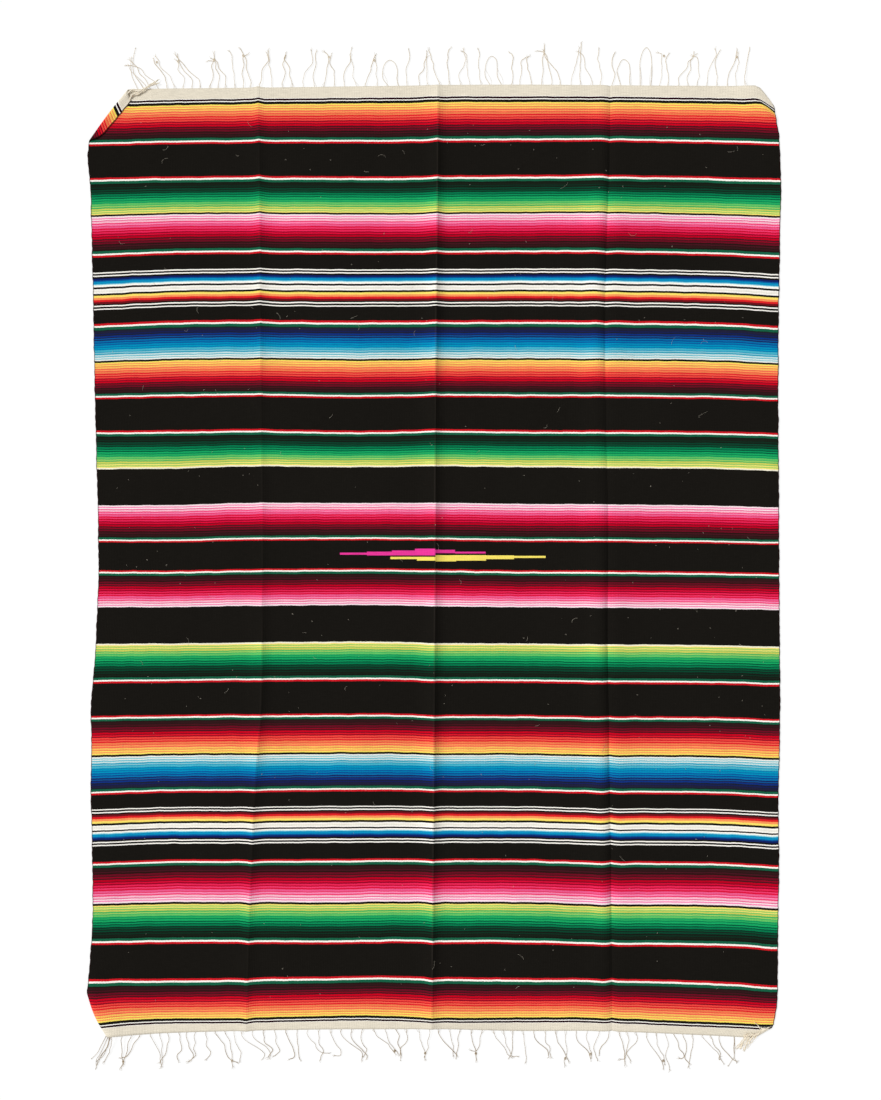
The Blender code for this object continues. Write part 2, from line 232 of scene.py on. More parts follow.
# The stripe draft, from the middle of the cloth outward: the width in mm in the upper and the
# lower half, and the yarns with their shares of it
Stripe = namedtuple("Stripe", "upper lower yarns")
BLACK = (("black", 1),)
RED_OUTWARD = (("black", 0.9), ("red", 1.8), ("white", 1.5), ("green", 2.4), ("black", 0.3))
GREEN_OUTWARD = RED_OUTWARD[::-1]
DRAFT = (
    Stripe(28.9, 28.3, BLACK),
    Stripe(13.0, 14.1, RED_OUTWARD),
    Stripe(69.8, 68.0, ombre(ROSE)),
    Stripe(78.5, 79.8, BLACK),
    Stripe(2.6, 2.8, (("pale_cream", 1),)),
    Stripe(63.7, 70.0, ombre(FOREST)[::-1]),
    Stripe(15.2, 15.2, GREEN_OUTWARD),
    Stripe(66.3, 66.3, BLACK),
    Stripe(14.1, 14.1, RED_OUTWARD),
    Stripe(69.1, 71.7, ombre(SUNSET)),
    Stripe(4.5, 4.7, BLACK),
    Stripe(67.7, 68.1, ombre(LAKE)[::-1]),
    Stripe(17.4, 14.8, GREEN_OUTWARD),
    Stripe(27.4, 28.7, BLACK),
    Stripe(10.7, 9.8,
           (("black", 0.3), ("white", 1.2), ("black", 1.9), ("white", 1.2), ("black", 0.3))),
    Stripe(21.3, 21.7,
           (("black", 1.3), ("maroon", 2.0), ("scarlet", 2.0), ("orange", 2.1), ("yellow", 2.2))),
    Stripe(4.3, 4.6, BLACK),
    Stripe(9.8, 9.9, (("white", 1.0), ("off_white", 2.2), ("white", 1.0))),
    Stripe(8.5, 6.5, (("black", 2.0), ("white", 1.8))),
    Stripe(14.3, 14.8, (("pale_blue", 0.9), ("azure", 2.6), ("blue", 1.1), ("navy", 2.0))),
    Stripe(13.9, 13.9,
           (("black", 1.8), ("white", 1.2), ("black", 1.8), ("white", 1.2), ("black", 0.4))),
    Stripe(28.9, 31.5, BLACK),
    Stripe(16.3, 16.3, RED_OUTWARD),
    Stripe(73.3, 79.3, ombre(ROSE)),
    Stripe(4.0, 4.7, BLACK),
    Stripe(65.1, 71.4, ombre(FOREST)[::-1]),
    Stripe(16.3, 16.5, GREEN_OUTWARD),
    Stripe(66.3, 65.2, BLACK),
    Stripe(15.7, 17.0, RED_OUTWARD),
    Stripe(72.0, 70.4, ombre(SUNSET)),
    Stripe(12.3, 11.6, (("black", 2.9), ("white", 1.1), ("brown", 2.2))),
    Stripe(27.2, 21.5, (("white", 0.045), ("cream", 0.955))),
)
RAMP_BANDS = 20

# The inlay at the middle: stepped bars of brocading weft, in mm from the middle of the cloth
Bar = namedtuple("Bar", "yarn left right top bottom")
INLAY = (
    Bar("pink", -206.5, -147.8, 10.6, 6.1),
    Bar("pink", -147.8, -93.5, 12.7, 4.6),
    Bar("pink", -93.5, -43.5, 15.3, 4.6),
    Bar("pink", -43.5, 0.0, 19.2, 4.6),
    Bar("pink", 0.0, 43.5, 16.8, 9.6),
    Bar("pink", 43.5, 110.0, 12.6, 8.8),
    Bar("lemon", -96.7, -39.1, 1.5, -3.3),
    Bar("lemon", -39.1, 0.0, 1.5, -6.7),
    Bar("lemon", 0.0, 46.1, 5.2, -8.5),
    Bar("lemon", 46.1, 110.9, 5.2, -6.7),
    Bar("lemon", 110.9, 171.7, 4.8, -3.5),
    Bar("lemon", 171.7, 240.2, 3.6, -0.9),
)
INLAY_YARNS = ("pink", "lemon")

# The fringe: strands in groups whose tips lean together
Fringe = namedtuple("Fringe", "end first_root last_root strands reach lean sway")
TOP_FRINGE = Fringe(1, -0.655, 0.686, 62, 0.093, 0.012, 0.0040)
BOTTOM_FRINGE = Fringe(-1, -0.692, 0.634, 61, 0.080, 0.022, 0.0055)
TOP_SHADE, BOTTOM_SHADE, BUNDLE_SHADE = 0.5, 0.18, 1.0
FRINGE_SEED = 7
GROUP_SIZES = (1, 2, 2, 3)
ROOT_SCATTER = 0.12
SHORTEST_REACH = 0.82
ROOT_DEPTH = 0.003
TIP_SPACING = 0.0030
TIP_CLEARANCE = 0.012
YARN_RADIUS = 0.00066
REST_HEIGHT = 0.0014
TIP_SHARE = 1.45
YARN_PITCH = 0.007
THICK_YARN = 0.001
THICK_PITCH = 20
WILD_SEED = 40
TUFT_SEED = 5
ARCH_SHARE = 0.22
KNOT_SHARE = 0.32

LINT_SEED = 21
LINT_FIBRES = 420
LONG_FIBRE_EVERY = 6

# The studio. The floor glows a little, to be as white as a paper ground that is lit on its own.
FLOOR_HALF = 30.0
FLOOR_HEIGHT = -0.0004
FLOOR_GREY = (138, 138, 138)
FLOOR_GLOW = 0.72
WORLD_LIGHT = 0.50
SUN_LIGHT = 2.85
SUN_WIDTH = math.radians(24)
SUN_TOWARD = (0.63, -0.22, -0.743)
CAMERA_LENS = 50.0
CAMERA_SENSOR = 36.0
CAMERA_PLACE = (0.0120, 0.0163, 3.3213)


def hermite(rows, at):
    """The value at a station on a smooth curve through rows of (station, value)."""
    last = len(rows) - 1
    at = min(max(at, rows[0][0]), rows[last][0])
    i = max(k for k in range(last) if rows[k][0] <= at)
    (x0, y0), (x1, y1) = rows[i], rows[i + 1]
    before, after = rows[max(i - 1, 0)], rows[min(i + 2, last)]
    span = x1 - x0
    slope0 = (y1 - before[1]) / (x1 - before[0]) * span
    slope1 = (after[1] - y0) / (after[0] - x0) * span
    u = (at - x0) / span
    leaving = y0 * (2 * u**3 - 3 * u**2 + 1) + slope0 * (u**3 - 2 * u**2 + u)
    arriving = y1 * (3 * u**2 - 2 * u**3) + slope1 * (u**3 - u**2)
    return leaving + arriving


def column_of(table, name):
    return sorted((row.station, getattr(row, name)) for row in table)


LEFT_INSET = column_of(SIDES, "left_inset")
RIGHT_INSET = column_of(SIDES, "right_inset")
WANDER_LINES = [sorted(zip(WANDER_ACROSS, row[1:])) for row in WANDERS]


def eased(u):
    u = min(max(u, 0.0), 1.0)
    return u * u * (3 - 2 * u)


def ragged(*where):
    """Smooth noise from -1 to 1 at a place."""
    return noise.noise(Vector((*where, 0.0, 0.0)[:3]))


def wander_rows(s):
    """How a warp end's crossings with the weft rise, as rows along the cloth."""
    return sorted((row.station, hermite(line, s) / 1000)
                  for row, line in zip(WANDERS, WANDER_LINES))


def crease_x(crease, y):
    return hermite(crease.line, y)


def crease_height(x, y):
    """How high the creases hold the cloth, with the unevenness of a fold stored for long."""
    height = 0.0
    for i, crease in enumerate(CREASES):
        line = crease_x(crease, y) + 0.0014 * ragged(y * 5, i) + 0.0006 * ragged(y * 23, i)
        side = 1 + 0.13 * ragged(y * 4, i + (3 if x > line else 7))
        shaded = (x > line) == (crease.form == "ridge")
        width = crease.shade_width if shaded else crease.lit_width
        away = min(abs(x - line) / (width * side), 1.0)
        if crease.form == "ridge":
            shape = (1 - away) ** (crease.sharpness if shaded else LIT_SHARPNESS)
        else:
            shape = 27 / 4 * away * (1 - away) ** 2 * (1.0 if shaded else VALLEY_LIT_SIDE)
        height += hermite(crease.heights, y) * shape * (1 + 0.12 * ragged(y * 7, i + 11))
    swell = 0.0007 * (0.6 + ragged(x * 9, y * 6, 2)) + 0.0003 * (0.5 + ragged(x * 31, y * 19, 5))
    return height + max(swell, 0.0)


def edge_wave(t, side):
    """The small scallops of a selvedge, where the weft turns."""
    phase = t / 0.019 + 0.7 * ragged(t * 8, side)
    uneven = 0.0012 * ragged(t * 31, side * 5) + 0.0012 * ragged(t * 13, side * 9)
    return 0.0011 * abs(math.sin(math.pi * phase)) + uneven


def plan(s, t, rows=None):
    """Where a point of the cut cloth, s across and t along, lies before corners are turned."""
    left = -HALF_WIDTH + hermite(LEFT_INSET, t)
    right = HALF_WIDTH - hermite(RIGHT_INSET, t)
    lines = (left, *(crease_x(crease, t) for crease in CREASES), right)
    quarter = HALF_WIDTH / 2
    panel = min(int((s + HALF_WIDTH) / quarter), 3)
    share = (s + HALF_WIDTH) / quarter - panel
    x = lines[panel] + (lines[panel + 1] - lines[panel]) * share
    near_edge = max(1 - (HALF_WIDTH - abs(s)) / 0.008, 0.0)
    x += math.copysign(edge_wave(t, math.copysign(1, s)) * near_edge, s)
    tucked = sum(crease.tucks[t < 0] * max(1 - abs(s - quarter * (i - 1)) / TUCK_REACH, 0.0) ** 2
                 for i, crease in enumerate(CREASES))
    return x, t + hermite(rows or wander_rows(s), t) - tucked * t / HALF_LENGTH


class Fold:
    """A turned corner: the bend's place, and how points are carried round it."""

    STEPS = 10

    def __init__(self, turn):
        start, end = Vector(turn.start), Vector(turn.end)
        self.under = turn.way == "under"
        self.length = (end - start).length
        self.along = (end - start) / self.length
        self.out = Vector((self.along.y, -self.along.x))
        self.across = turn.roll_across
        self.up = turn.roll_up
        outermost = self.across + (WALL if self.under else 0.0)
        self.start = start - self.out * outermost
        self.arc = math.pi * math.sqrt((self.across**2 + self.up**2) / 2)
        self.bow = turn.bow
        self.skew = turn.skew

    def beyond(self, x, y):
        return (Vector((x, y)) - self.start).dot(self.out)

    def bowed(self, point, past):
        """How far the fold bulges outward at a point."""
        share = (Vector((point.x, point.y)) - self.start).dot(self.along) / self.length
        share = min(max(share, 0.0), 1.0)
        return self.bow * math.sin(math.pi * share) * eased(1 + min(past, 0.0) / BOW_FADE)

    def skewed(self, point, past):
        """How far a flap's point is drawn towards the start of the fold."""
        along = (Vector((point.x, point.y)) - self.start).dot(self.along)
        slope = hermite(self.skew, along)
        return Vector((*self.along, 0.0)) * -slope * max(past - self.arc / 2, 0.0)

    def lines(self):
        bend = [self.arc * i / self.STEPS for i in range(self.STEPS + 1)]
        if self.under:
            return bend
        return bend + [self.arc + FLAP_SETTLES_OVER * share for share in (0.25, 0.5, 0.75, 1.0)]

    def lift(self, point, past):
        along = (Vector((point.x, point.y)) - self.start).dot(self.along)
        outside = max(-along, along - self.length, 0.0)
        fade = 1 - eased(outside / LIFT_FADE)
        return (WALL + 2 * self.up) * eased(1 + past / LIFT_REACH) * fade

    def carry(self, point):
        past = self.beyond(point.x, point.y)
        outward = Vector((*self.out, 0.0))
        bulge = outward * self.bowed(point, past)
        if past <= 0.0:
            if self.under:
                point.z += self.lift(point, past)
            return point + bulge
        turn = math.pi * min(past / self.arc, 1.0)
        lying = max(past - self.arc, 0.0)
        shift = self.across * math.sin(turn) - lying
        carried = point + outward * (shift - past) + self.skewed(point, past)
        if self.under:
            carried.z = WALL + self.up * (1 + math.cos(turn))
        else:
            turned = self.up * (1 - math.cos(turn))
            settled = 2 * WALL + LAY_GAP
            carried.z = turned + (settled - turned) * eased(lying / FLAP_SETTLES_OVER)
        return carried + bulge


FOLDS = [Fold(turn) for turn in TURNS]
SAG_BEND = column_of(SAGS, "bend")
SAG_SLOPE = column_of(SAGS, "slope")


def sagged(point):
    """The point where the top right corner's sag takes it."""
    if point.x < 0.60 or point.y < SAGS[0].station:
        return point
    past = point.x - hermite(SAG_BEND, point.y)
    slope = max(hermite(SAG_SLOPE, point.y), 0.0)
    if past > 0:
        point.y -= slope * past * past / (past + SAG_ROUNDING)
        shape = 1 - min(past / 0.040, 1.0) ** 1.3
    else:
        shape = eased(1 + past / 0.070)
    point.z += SAG_HEIGHT * shape * min(slope, 1.0)
    return point


def laid(x, y):
    """The place of the cloth's underside over a point of its plan."""
    point = sagged(Vector((x, y, crease_height(x, y))))
    for fold in FOLDS:
        point = fold.carry(point)
    return point


def within_wall(s, t):
    """The middle of the wall at a point of the cut cloth, whichever way it is turned."""
    end = math.copysign(1, t)
    step = 0.0005
    here = laid(*plan(s, t))
    across = laid(*plan(s - step, t)) - here
    along = laid(*plan(s, t - step * end)) - here
    return here + (across.cross(along) * end).normalized() * WALL / 2


def draft_edges():
    """Rows of (place along the cloth, place in the draft) at the stripes' edges."""
    edges = [(DRAFT_CENTRE, 0.0)]
    for end, widths in ((1, [s.upper for s in DRAFT]), (-1, [s.lower for s in DRAFT])):
        scale = (HALF_LENGTH - end * DRAFT_CENTRE) / sum(widths)
        place, drawn = DRAFT_CENTRE, 0.0
        for width, stripe in zip(widths, DRAFT):
            place += end * width * scale
            drawn += (stripe.upper + stripe.lower) / 2000
            edges.append((place, drawn))
    return sorted(edges)


def draft_bands():
    """Rows of (place in the draft, colour) where each yarn begins, from the middle outward."""
    bands = []
    drawn = 0.0
    for stripe in DRAFT:
        width = (stripe.upper + stripe.lower) / 2000
        total = sum(share for _, share in stripe.yarns)
        for yarn, share in stripe.yarns:
            bands.append((drawn, YARNS.get(yarn, yarn)))
            drawn += width * share / total
    return bands, drawn


def linear(colour):
    """A linear RGBA from an sRGB colour of 0 to 255."""
    parts = [c / 255 for c in colour]
    return (*(p / 12.92 if p < 0.04045 else ((p + 0.055) / 1.055) ** 2.4 for p in parts), 1.0)


class Graph:
    """A material's node tree, with short calls for the nodes used here."""

    def __init__(self, name):
        self.material = bpy.data.materials.new(name)
        self.material.use_nodes = True
        self.nodes = self.material.node_tree.nodes
        self.links = self.material.node_tree.links
        self.shader = self.nodes["Principled BSDF"]

    def feed(self, socket, value):
        if isinstance(value, bpy.types.NodeSocket):
            self.links.new(value, socket)
        else:
            socket.default_value = value

    def math(self, operation, a, b=0.0):
        node = self.nodes.new("ShaderNodeMath")
        node.operation = operation
        self.feed(node.inputs[0], a)
        self.feed(node.inputs[1], b)
        return node.outputs[0]

    def attribute(self, name):
        node = self.nodes.new("ShaderNodeAttribute")
        node.attribute_name = name
        return node.outputs["Fac"]

    def vector(self, x, y, z=0.0):
        node = self.nodes.new("ShaderNodeCombineXYZ")
        for socket, value in zip(node.inputs, (x, y, z)):
            self.feed(socket, value)
        return node.outputs[0]

    def noise(self, place, scale, detail=2.0):
        node = self.nodes.new("ShaderNodeTexNoise")
        self.feed(node.inputs["Vector"], place)
        node.inputs["Scale"].default_value = scale
        node.inputs["Detail"].default_value = detail
        return node.outputs["Fac"]

    def place(self):
        return self.nodes.new("ShaderNodeTexCoord").outputs["Object"]

    def spread(self, value, low, high, start=0.0, end=1.0):
        """The value mapped from low..high to start..end, and held within them."""
        node = self.nodes.new("ShaderNodeMapRange")
        self.feed(node.inputs["Value"], value)
        for name, number in zip(("From Min", "From Max", "To Min", "To Max"),
                                (low, high, start, end)):
            node.inputs[name].default_value = number
        return node.outputs[0]

    def mix(self, share, a, b, blend="MIX"):
        node = self.nodes.new("ShaderNodeMix")
        node.data_type = "RGBA"
        node.blend_type = blend
        self.feed(node.inputs["Factor"], share)
        colours = [socket for socket in node.inputs if socket.type == "RGBA"]
        self.feed(colours[0], a)
        self.feed(colours[1], b)
        return next(socket for socket in node.outputs if socket.type == "RGBA")

    def shade(self, colour, value):
        """The colour times a value."""
        return self.mix(1.0, colour, self.vector(value, value, value), "MULTIPLY")

    def bump(self, height, strength, distance):
        node = self.nodes.new("ShaderNodeBump")
        node.inputs["Strength"].default_value = strength
        node.inputs["Distance"].default_value = distance
        self.feed(node.inputs["Height"], height)
        self.links.new(node.outputs[0], self.shader.inputs["Normal"])


def striped_colour(graph, draft):
    """The yarn colour at a place in the draft, from colour ramps that each hold some bands."""
    bands, total = draft_bands()
    colour = None
    for first in range(0, len(bands), RAMP_BANDS):
        part = bands[first:first + RAMP_BANDS]
        start = part[0][0]
        end = bands[first + RAMP_BANDS][0] if first + RAMP_BANDS < len(bands) else total
        node = graph.nodes.new("ShaderNodeValToRGB")
        node.color_ramp.interpolation = "CONSTANT"
        graph.feed(node.inputs[0], graph.spread(draft, start, end))
        stops = node.color_ramp.elements
        stops.remove(stops[1])
        stops[0].color = linear(part[0][1])
        for place, yarn in part[1:]:
            stops.new((place - start) / (end - start)).color = linear(yarn)
        ramp = node.outputs["Color"]
        colour = ramp if colour is None else graph.mix(
            graph.math("GREATER_THAN", draft, start), colour, ramp)
    return colour


def cloth_material():
    graph = Graph("striped_weave")
    across, along = graph.attribute("across"), graph.attribute("along")
    rib = graph.math("DIVIDE", across, RIB)
    parity = graph.math("PINGPONG", graph.math("FLOOR", rib), 1.0)
    rib_height = graph.math(
        "POWER", graph.math("SINE", graph.math("MULTIPLY", graph.math("FRACT", rib), math.pi)), 0.6)
    pick = graph.math("ADD", graph.math("DIVIDE", along, PICK), graph.math("MULTIPLY", parity, 0.5))
    pick_height = graph.math(
        "ABSOLUTE", graph.math("SINE", graph.math("MULTIPLY", pick, math.pi)))
    weave = graph.math("MULTIPLY", rib_height, graph.spread(pick_height, 0.0, 1.0, 0.4, 1.0))

    drift = graph.noise(graph.vector(across, graph.math("MULTIPLY", along, 0.3)), 26.0)
    teeth = graph.math("MULTIPLY", graph.math("SUBTRACT", parity, 0.5), 0.0002)
    wavy = graph.math("MULTIPLY", graph.math("SUBTRACT", drift, 0.5), 0.0034)
    draft = graph.math("ADD", graph.attribute("draft"), graph.math("ADD", teeth, wavy))
    colour = striped_colour(graph, draft)
    inlay = graph.attribute("inlay")
    for i, yarn in enumerate(INLAY_YARNS):
        woven = graph.math("GREATER_THAN", inlay, i + 0.5)
        colour = graph.mix(woven, colour, linear(YARNS[yarn]))
    # Crests are paled towards a light yarn colour: partly wear of the weft, partly a painted
    # highlight
    wear_and_highlight = graph.math("MULTIPLY", graph.attribute("wear_and_highlight"), graph.spread(drift, 0.3, 0.7, 0.4, 1.0))
    colour = graph.mix(wear_and_highlight, colour, linear(YARNS["wear_and_highlight"]))
    # The top is darkened in a strip 1.8 mm wide along each selvedge
    edge = graph.math("GREATER_THAN", graph.math("ABSOLUTE", across), HALF_WIDTH - 0.0018)
    colour = graph.mix(graph.math("MULTIPLY", edge, 0.8), colour, linear(YARNS["dark_selvedge_line"]))

    slub = graph.noise(graph.vector(graph.math("MULTIPLY", across, 0.05), along), 900.0, 1.0)
    faded = graph.noise(graph.place(), 5.0)
    # Painted shade: the colour is darker in the weave's low places, by the weave's height; it also
    # varies with the yarn's slubs and a broad random fading
    weave_shade_and_tone = graph.math("MULTIPLY", graph.spread(weave, 0.0, 1.0, 0.85, 1.03),
                      graph.spread(slub, 0.3, 0.7, 0.88, 1.08))
    weave_shade_and_tone = graph.math("MULTIPLY", weave_shade_and_tone, graph.spread(faded, 0.3, 0.7, 0.95, 1.04))
    colour = graph.shade(colour, weave_shade_and_tone)
    fuzz = graph.noise(graph.place(), 420.0, 3.0)
    colour = graph.mix(graph.spread(fuzz, 0.62, 0.80, 0.0, 0.02), colour, linear((190, 178, 160)))
    graph.feed(graph.shader.inputs["Base Color"], colour)
    graph.shader.inputs["Roughness"].default_value = 0.92
    graph.shader.inputs["Specular IOR Level"].default_value = 0.0
    height = graph.math("ADD", weave, graph.math("MULTIPLY", fuzz, 0.5))
    graph.bump(height, 0.7, 0.0006)
    return graph.material


def yarn_material(name, dark, middling, pale):
    """Undyed cotton, patchy, and from dark to pale as each strand's shade says."""
    graph = Graph(name)
    fibre = graph.noise(graph.place(), 1600.0, 3.0)
    patch = graph.noise(graph.place(), 60.0)
    shade = graph.math("ADD", graph.attribute("shade"), graph.spread(patch, 0.3, 0.7, 0.05, -0.15))
    mixed = graph.mix(graph.spread(shade, 0.0, 0.5), linear(dark), linear(middling))
    mixed = graph.mix(graph.spread(shade, 0.5, 1.0), mixed, linear(pale))
    graph.feed(graph.shader.inputs["Base Color"],
               graph.shade(mixed, graph.spread(fibre, 0.3, 0.7, 0.86, 1.05)))
    graph.shader.inputs["Roughness"].default_value = 0.9
    graph.shader.inputs["Specular IOR Level"].default_value = 0.2
    graph.shader.inputs["Sheen Weight"].default_value = 0.1
    graph.bump(fibre, 0.5, 0.0003)
    return graph.material


def stations_across():
    half = HALF_WIDTH
    stations = {0.0}
    for middle in (-half / 2, 0.0, half / 2):
        for step in (0.0, 0.0012, 0.003, 0.006, 0.010, 0.015, 0.021, 0.029, 0.040, 0.054):
            stations |= {middle + step, middle - step}
    for step in (0.0, 0.0018, 0.004, 0.008, 0.014, 0.022, 0.032, 0.044, 0.058, 0.076, 0.098):
        stations |= {half - step, step - half}
    for middle, gap in ((-half * 0.68, 0.060), (-half / 4, 0.080), (half / 4, 0.080),
                        (half * 0.68, 0.060)):
        stations |= {middle + gap * i * 0.45 for i in range(-3, 4)}
    return sorted(stations)


def stations_along():
    edges = [place for place, _ in draft_edges()]
    stations = []
    for low, high in zip(edges, edges[1:]):
        count = max(math.ceil((high - low) / 0.0065), 1)
        stations += [low + (high - low) * i / count for i in range(count)]
    return stations + [edges[-1]]


def bisect(bm, near, point, direction):
    """Adds edges to the flat cloth where a line crosses the faces that near() picks."""
    faces = [face for face in bm.faces if near(face.calc_center_median())]
    if faces:
        edges = {edge for face in faces for edge in face.edges}
        verts = {vert for face in faces for vert in face.verts}
        bmesh.ops.bisect_plane(bm, geom=[*faces, *edges, *verts], dist=0.0003,
                               plane_co=(*point, 0.0), plane_no=(*direction, 0.0))


def inlay_at(centre):
    for bar in INLAY:
        within = bar.left < centre.x * 1000 < bar.right and bar.bottom < centre.y * 1000 < bar.top
        if within:
            return 1.0 + INLAY_YARNS.index(bar.yarn)
    return 0.0


def build_cloth():
    columns, rows = stations_across(), stations_along()
    across, along = len(columns) - 1, len(rows) - 1
    bm = bmesh.new()
    bmesh.ops.create_grid(bm, x_segments=across, y_segments=along, size=0.5)
    layers = [bm.verts.layers.float.new(name) for name in ("across", "along", "draft", "wear_and_highlight")]
    edges = draft_edges()
    wanders = [wander_rows(s) for s in columns]
    drawn = []
    for t in rows:
        i = max(k for k in range(len(edges) - 1) if edges[k][0] <= t + 1e-9)
        share = (t - edges[i][0]) / (edges[i + 1][0] - edges[i][0])
        drawn.append(edges[i][1] + (edges[i + 1][1] - edges[i][1]) * share)
    for vert in bm.verts:
        column = round((vert.co.x + 0.5) * across)
        row = round((vert.co.y + 0.5) * along)
        s, t = columns[column], rows[row]
        vert.co = (*plan(s, t, wanders[column]), 0.0)
        for layer, value in zip(layers, (s, t, drawn[row], CREST_WEAR_AND_HIGHLIGHT.get(s, 0.0))):
            vert[layer] = value
    for fold in FOLDS:
        middle = fold.start + fold.along * fold.length / 2
        for line in fold.lines():
            bisect(bm, lambda c: (c.xy - middle).length < 0.11,
                   fold.start + fold.out * line, fold.out)
    sides = sorted({value / 1000 for bar in INLAY for value in (bar.left, bar.right)})
    levels = sorted({value / 1000 for bar in INLAY for value in (bar.top, bar.bottom)})
    for x in sides:
        bisect(bm, lambda c: abs(c.y - 0.005) < 0.024 and abs(c.x - x) < 0.05, (x, 0), (1, 0))
    for y in levels:
        bisect(bm, lambda c: abs(c.y - y) < 0.012 and -0.23 < c.x < 0.26, (0, y), (0, 1))
    bmesh.ops.triangulate(bm, faces=[face for face in bm.faces if len(face.verts) > 4])
    woven = [inlay_at(face.calc_center_median()) for face in bm.faces]
    for vert in bm.verts:
        vert.co = laid(vert.co.x, vert.co.y)
    mesh = bpy.data.meshes.new("cloth")
    bm.to_mesh(mesh)
    bm.free()
    mesh.attributes.new("inlay", "FLOAT", "FACE").data.foreach_set("value", woven)
    mesh.shade_smooth()
    cloth = bpy.data.objects.new("cloth", mesh)
    bpy.context.scene.collection.objects.link(cloth)
    solidify = cloth.modifiers.new("wall", "SOLIDIFY")
    solidify.thickness = WALL
    solidify.offset = 1.0
    solidify.use_quality_normals = True
    mesh.materials.append(cloth_material())
    return cloth


class Tubes:
    """Yarns as tubes along routes, gathered into one mesh."""

    def __init__(self, shade=0.5):
        self.verts = []
        self.faces = []
        self.shades = []
        self.shade = shade

    def tube(self, route, radii, sides=4):
        first = len(self.verts)
        last = len(route) - 1
        for i, (point, radius) in enumerate(zip(route, radii)):
            ahead = (route[min(i + 1, last)] - route[max(i - 1, 0)]).normalized()
            side = ahead.cross(Vector((0, 0, 1)))
            if side.length < 0.05:
                side = ahead.cross(Vector((0, 1, 0)))
            side.normalize()
            up = side.cross(ahead)
            for k in range(sides):
                turn = math.tau * k / sides
                self.verts.append(point + (side * math.cos(turn) + up * math.sin(turn)) * radius)
                self.shades.append(self.shade)
        for i in range(last):
            for k in range(sides):
                a, b = first + i * sides + k, first + i * sides + (k + 1) % sides
                self.faces.append((a, b, b + sides, a + sides))
        self.faces.append(tuple(first + k for k in reversed(range(sides))))
        self.faces.append(tuple(first + last * sides + k for k in range(sides)))

    def yarn(self, points, radius, plies=2, pitch=YARN_PITCH, tip_share=TIP_SHARE):
        """A twisted yarn through the given points, its tip tip_share as thick as its root."""
        route = smooth(points, 0.0014)
        last = len(route) - 1
        for ply in range(plies):
            strand = []
            radii = []
            gone = 0.0
            for i, point in enumerate(route):
                ahead = (route[min(i + 1, last)] - route[max(i - 1, 0)]).normalized()
                side = ahead.cross(Vector((0, 0, 1))).normalized()
                up = side.cross(ahead)
                turn = math.tau * (gone / pitch + ply / plies)
                share = 1 - (1 - tip_share) * i / last
                off = radius * 0.48 * share
                strand.append(point + (side * math.cos(turn) + up * math.sin(turn)) * off)
                radii.append(radius * 0.56 * share)
                if i < last:
                    gone += (route[i + 1] - point).length
            self.tube(strand, radii)

    def fray(self, tip, heading, draw, count=3, length=0.007):
        """Loose fibres at the end of a yarn."""
        for _ in range(count):
            turn = draw.uniform(-0.6, 0.6)
            way = Vector((heading.x * math.cos(turn) - heading.y * math.sin(turn),
                          heading.x * math.sin(turn) + heading.y * math.cos(turn), 0.0))
            far = length * draw.uniform(0.5, 1.2)
            bend = Vector((-way.y, way.x, 0.0)) * far * draw.uniform(-0.3, 0.3)
            points = [tip, tip + way * far * 0.5 + bend, tip + way * far]
            for point in points:
                point.z = max(point.z, 0.0008)
            radii = [0.0004] * 2 + [0.0003] * 2 + [0.0002] * 5
            self.tube(smooth(points, 0.002), radii, 3)

    def knot(self, centre, draw, size=0.0017):
        """A small overhand knot lying on the floor."""
        points = []
        for i in range(15):
            turn = math.tau * 1.7 * i / 14 + draw.uniform(-0.1, 0.1)
            points.append(centre + Vector((math.cos(turn) * size,
                                           math.sin(turn) * size * 1.2 + size * 0.16 * (i - 7) / 2,
                                           size * 0.5 * math.sin(turn * 1.5))))
        lowest = min(point.z for point in points)
        for point in points:
            point.z += max(0.0010 - lowest, 0.0)
        self.tube(points, [0.0009] * len(points), 5)

    def finish(self, name, material):
        mesh = bpy.data.meshes.new(name)
        mesh.from_pydata([tuple(v) for v in self.verts], [], self.faces)
        mesh.update()
        mesh.attributes.new("shade", "FLOAT", "POINT").data.foreach_set("value", self.shades)
        mesh.shade_smooth()
        mesh.materials.append(material)
        made = bpy.data.objects.new(name, mesh)
        bpy.context.scene.collection.objects.link(made)
        return made


def smooth(points, step):
    """Points at about a step along a smooth curve through the given points."""
    route = [points[0]]
    last = len(points) - 1
    for i in range(last):
        a, b, c, d = (points[min(max(i + k, 0), last)] for k in (-1, 0, 1, 2))
        count = max(round((c - b).length / step), 1)
        for k in range(1, count + 1):
            u = k / count
            route.append(0.5 * ((2 * b) + (c - a) * u + (2 * a - 5 * b + 4 * c - d) * u * u
                                + (3 * b - a - 3 * c + d) * u**3))
    return route


def rooted(end, root):
    """A strand's first points: inside the cloth's end, and at its edge."""
    inner = plan(root, end * (HALF_LENGTH - ROOT_DEPTH))
    edge = plan(root, end * HALF_LENGTH)
    height = laid(*edge).z
    return Vector((*inner, height + WALL / 2)), Vector((*edge, height + WALL / 2))


